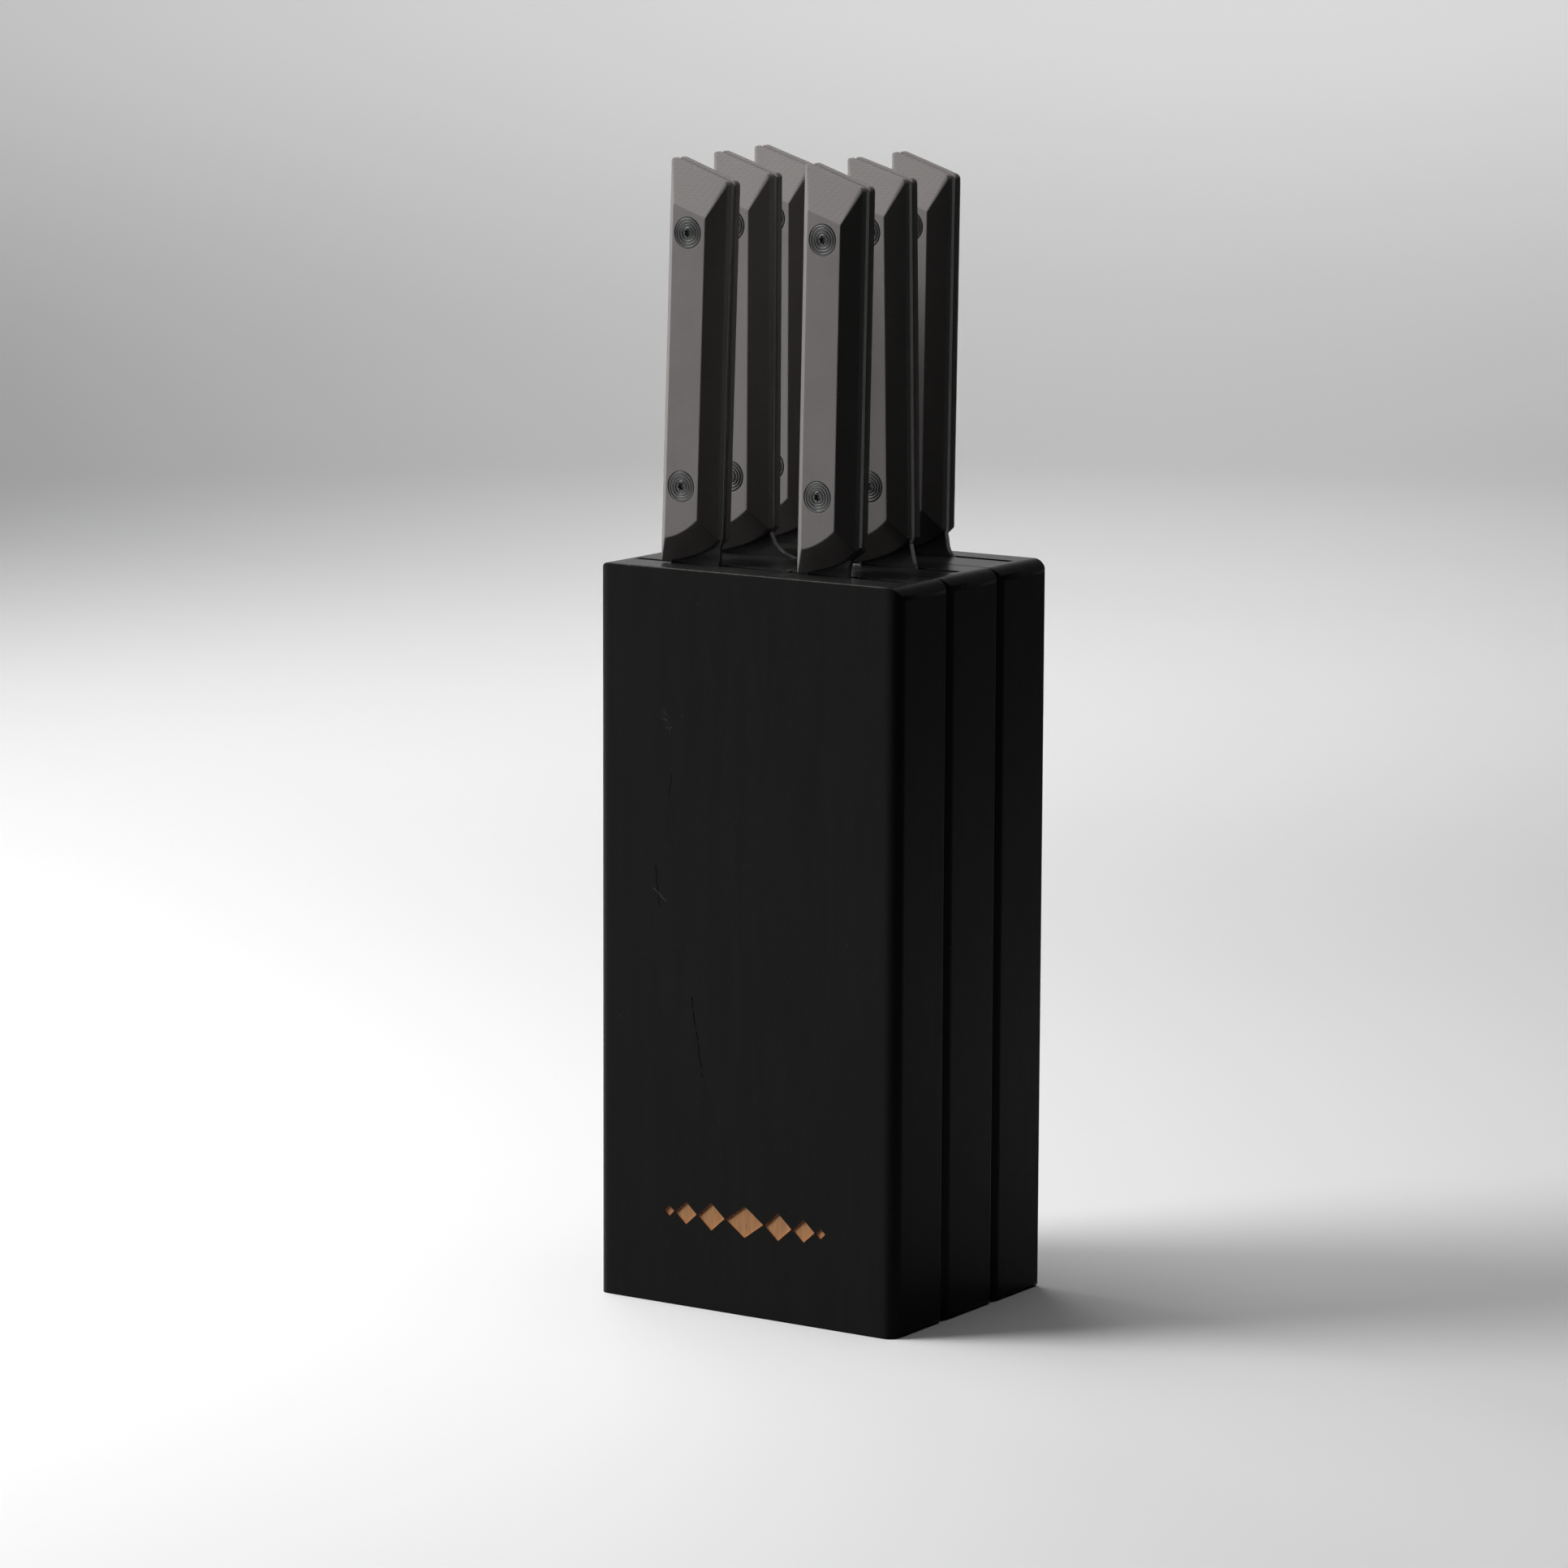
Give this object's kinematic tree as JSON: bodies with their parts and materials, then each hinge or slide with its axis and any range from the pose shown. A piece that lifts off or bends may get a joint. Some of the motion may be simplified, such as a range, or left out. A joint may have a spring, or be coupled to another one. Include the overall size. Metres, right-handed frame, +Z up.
{
  "type": "knife block with knives",
  "caption": "Upright black wooden knife block of stacked slabs, holding full-tang kitchen knives with faceted laminate handles that lift straight out of their slots.",
  "frame": {"origin": "centre of the block's underside", "axes": "+Z up along the block, +X to the right seen from the front, the front face looks along -Y"},
  "size_m": [0.112, 0.0864, 0.3615],
  "materials": {
    "painted_wood": "satin black stain over upright grain",
    "handle_laminate": "matte, fine woven laminate",
    "blade_steel": "satin, dark coated",
    "fastener_steel": "satin, dark steel with turned rings"
  },
  "bodies": {
    "block": {"front_slab_front_board": "painted_wood", "front_slab_back_board": "painted_wood", "front_slab_left_strip": "painted_wood", "front_slab_middle_strip": "painted_wood", "front_slab_right_strip": "painted_wood", "front_slab_bottom_strip": "painted_wood", "middle_slab_front_board": "painted_wood", "middle_slab_back_board": "painted_wood", "middle_slab_left_strip": "painted_wood", "middle_slab_middle_strip": "painted_wood", "middle_slab_right_strip": "painted_wood", "middle_slab_bottom_strip": "painted_wood", "rear_slab_front_board": "painted_wood", "rear_slab_back_board": "painted_wood", "rear_slab_left_strip": "painted_wood", "rear_slab_middle_strip": "painted_wood", "rear_slab_right_strip": "painted_wood", "rear_slab_bottom_strip": "painted_wood"},
    "utility_knife": {"utility_knife_blade": "blade_steel", "utility_knife_front_scale": "handle_laminate", "utility_knife_back_scale": "handle_laminate", "utility_knife_lower_screw": "fastener_steel", "utility_knife_upper_screw": "fastener_steel", "utility_knife_lower_nut": "fastener_steel", "utility_knife_upper_nut": "fastener_steel"},
    "chef_knife": {"chef_knife_blade": "blade_steel", "chef_knife_front_scale": "handle_laminate", "chef_knife_back_scale": "handle_laminate", "chef_knife_lower_screw": "fastener_steel", "chef_knife_upper_screw": "fastener_steel", "chef_knife_lower_nut": "fastener_steel", "chef_knife_upper_nut": "fastener_steel"},
    "bread_knife": {"bread_knife_blade": "blade_steel", "bread_knife_front_scale": "handle_laminate", "bread_knife_back_scale": "handle_laminate", "bread_knife_lower_screw": "fastener_steel", "bread_knife_upper_screw": "fastener_steel", "bread_knife_lower_nut": "fastener_steel", "bread_knife_upper_nut": "fastener_steel"},
    "paring_knife": {"paring_knife_blade": "blade_steel", "paring_knife_front_scale": "handle_laminate", "paring_knife_back_scale": "handle_laminate", "paring_knife_lower_screw": "fastener_steel", "paring_knife_upper_screw": "fastener_steel", "paring_knife_lower_nut": "fastener_steel", "paring_knife_upper_nut": "fastener_steel"},
    "carving_knife": {"carving_knife_blade": "blade_steel", "carving_knife_front_scale": "handle_laminate", "carving_knife_back_scale": "handle_laminate", "carving_knife_lower_screw": "fastener_steel", "carving_knife_upper_screw": "fastener_steel", "carving_knife_lower_nut": "fastener_steel", "carving_knife_upper_nut": "fastener_steel"},
    "santoku_knife": {"santoku_knife_blade": "blade_steel", "santoku_knife_front_scale": "handle_laminate", "santoku_knife_back_scale": "handle_laminate", "santoku_knife_lower_screw": "fastener_steel", "santoku_knife_upper_screw": "fastener_steel", "santoku_knife_lower_nut": "fastener_steel", "santoku_knife_upper_nut": "fastener_steel"}
  },
  "joints": [
    {"name": "lift_utility_knife", "type": "slide", "parent": "block", "child": "utility_knife", "axis": [0, 0, 1], "range_m": [0, 0.17]},
    {"name": "lift_chef_knife", "type": "slide", "parent": "block", "child": "chef_knife", "axis": [0, 0, 1], "range_m": [0, 0.225]},
    {"name": "lift_bread_knife", "type": "slide", "parent": "block", "child": "bread_knife", "axis": [0, 0, 1], "range_m": [0, 0.225]},
    {"name": "lift_paring_knife", "type": "slide", "parent": "block", "child": "paring_knife", "axis": [0, 0, 1], "range_m": [0, 0.12]},
    {"name": "lift_carving_knife", "type": "slide", "parent": "block", "child": "carving_knife", "axis": [0, 0, 1], "range_m": [0, 0.22]},
    {"name": "lift_santoku_knife", "type": "slide", "parent": "block", "child": "santoku_knife", "axis": [0, 0, 1], "range_m": [0, 0.195]}
  ]
}
